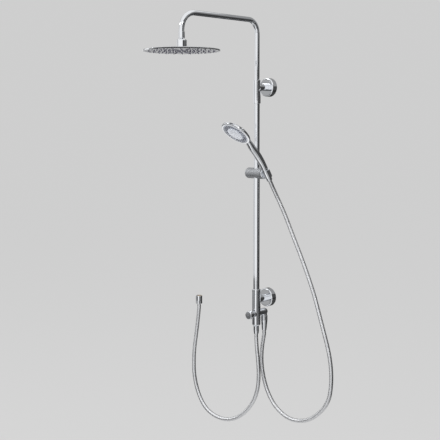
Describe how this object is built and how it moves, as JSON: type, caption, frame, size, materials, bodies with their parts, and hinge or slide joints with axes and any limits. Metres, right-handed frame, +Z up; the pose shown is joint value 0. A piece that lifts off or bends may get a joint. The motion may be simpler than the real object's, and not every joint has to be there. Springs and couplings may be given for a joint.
{
  "type": "shower column set",
  "caption": "Wall-mounted shower column with swivelling arm, round rain head, sliding holder, hand shower, diverter and two hoses.",
  "frame": {"origin": "middle of the upper wall bracket's face on the wall", "axes": "+Z up along the column, +Y into the wall, +X to the right as seen from the room; the room is on -Y"},
  "size_m": [0.6151, 0.561, 1.469],
  "materials": {
    "chrome": "polished",
    "plated_shell": "polished, plated",
    "satin_metal": "satin",
    "head_steel": "polished",
    "steel": "plain",
    "hose_metal": "satin",
    "brass": "machined",
    "grey_plastic": "matt",
    "white_plastic": "matt",
    "spray_face": "gloss",
    "nozzle_rubber": "matt",
    "seal_rubber": "matt"
  },
  "bodies": {
    "wall_set": {"upper_wall_plate": "steel", "upper_rosette": "chrome", "upper_holder": "chrome", "upper_stub_screw": "steel", "clamp_screw": "steel", "lower_wall_plate": "steel", "lower_rosette": "chrome", "lower_stub_screw": "steel", "lower_pole": "chrome", "union_nut": "chrome", "diverter_body": "chrome", "diverter_cartridge": "white_plastic", "diverter_bonnet": "steel", "outlet_nut": "chrome", "outlet_washer": "seal_rubber", "outlet_insert": "brass", "inlet_nut": "chrome", "inlet_insert": "brass", "tap_nut": "chrome", "tap_washer": "seal_rubber", "tap_insert": "brass", "supply_hose": "hose_metal", "hand_hose": "hose_metal"},
    "riser": {"upper_pole": "chrome", "pole_seal": "seal_rubber", "arm_seal": "seal_rubber"},
    "arm": {"shower_arm": "chrome", "swivel_nut": "chrome", "arm_washer": "seal_rubber", "ball_stem": "chrome"},
    "ball_ring": {"ball_seat_ring": "white_plastic"},
    "head": {"head_collar": "chrome", "ball_seal": "seal_rubber", "head_back_shell": "head_steel", "head_face_plate": "head_steel", "head_nozzle_mat": "nozzle_rubber"},
    "carriage": {"slider_bush": "white_plastic"},
    "slider": {"slider_body": "satin_metal", "brake_shoe": "grey_plastic"},
    "button": {"release_button": "plated_shell", "button_spring": "steel"},
    "holder": {"holder_seat": "grey_plastic", "holder_axle": "steel", "holder_washer": "white_plastic"},
    "handset": {"handset_shell": "plated_shell", "handset_tube": "white_plastic", "handset_nipple": "brass", "handset_face": "spray_face", "handset_nozzles": "nozzle_rubber", "face_screw": "steel", "hand_cone_nut": "chrome", "hand_washer": "seal_rubber", "hand_insert": "brass"},
    "selector": {"selector_ring": "plated_shell", "selector_disc": "white_plastic"},
    "knob": {"diverter_knob": "chrome", "diverter_spindle": "brass", "knob_screw": "steel"}
  },
  "joints": [
    {"name": "column_height", "type": "slide", "parent": "wall_set", "child": "riser", "axis": [0, 0, 1], "range_m": [0, 0.1]},
    {"name": "arm_swivel", "type": "hinge", "parent": "riser", "child": "arm", "pos_m": [0, -0.07, 0], "axis": [0, 0, 1], "range_deg": [-60, 60]},
    {"name": "head_tilt_side", "type": "hinge", "parent": "arm", "child": "ball_ring", "pos_m": [0, -0.436, 0.13], "axis": [0, 1, 0], "range_deg": [-9, 9]},
    {"name": "head_tilt_front", "type": "hinge", "parent": "ball_ring", "child": "head", "pos_m": [0, -0.436, 0.13], "axis": [1, 0, 0], "range_deg": [-9, 9]},
    {"name": "slider_height", "type": "slide", "parent": "wall_set", "child": "carriage", "axis": [0, 0, 1], "range_m": [-0.38, 0], "deforming": ["hand_hose"]},
    {"name": "slider_swivel", "type": "hinge", "parent": "carriage", "child": "slider", "pos_m": [0, -0.07, -0.304], "axis": [0, 0, 1], "range_deg": [-40, 40], "deforming": ["hand_hose"]},
    {"name": "button_press", "type": "slide", "parent": "slider", "child": "button", "axis": [0.9903, -0.1392, 0], "range_m": [0, 0.0035], "stiffness_N_per_m": 900, "springref_m": -0.003, "deforming": ["button_spring"]},
    {"name": "holder_tilt", "type": "hinge", "parent": "slider", "child": "holder", "pos_m": [0.05446, -0.07766, -0.304], "axis": [0.9903, -0.1392, 0], "range_deg": [-25, 25], "deforming": ["hand_hose"]},
    {"name": "handset_lift", "type": "slide", "parent": "holder", "child": "handset", "axis": [-0.0696, -0.4951, 0.866], "range_m": [0, 0.08], "deforming": ["hand_hose"]},
    {"name": "spray_select", "type": "hinge", "parent": "handset", "child": "selector", "pos_m": [0.03483, -0.21739, -0.16347], "axis": [-0.0876, -0.6232, -0.7771], "range_deg": [-36, 36]},
    {"name": "diverter_turn", "type": "hinge", "parent": "wall_set", "child": "knob", "pos_m": [0, -0.07, -0.808], "axis": [0, -1, 0], "range_deg": [-90, 90]}
  ]
}
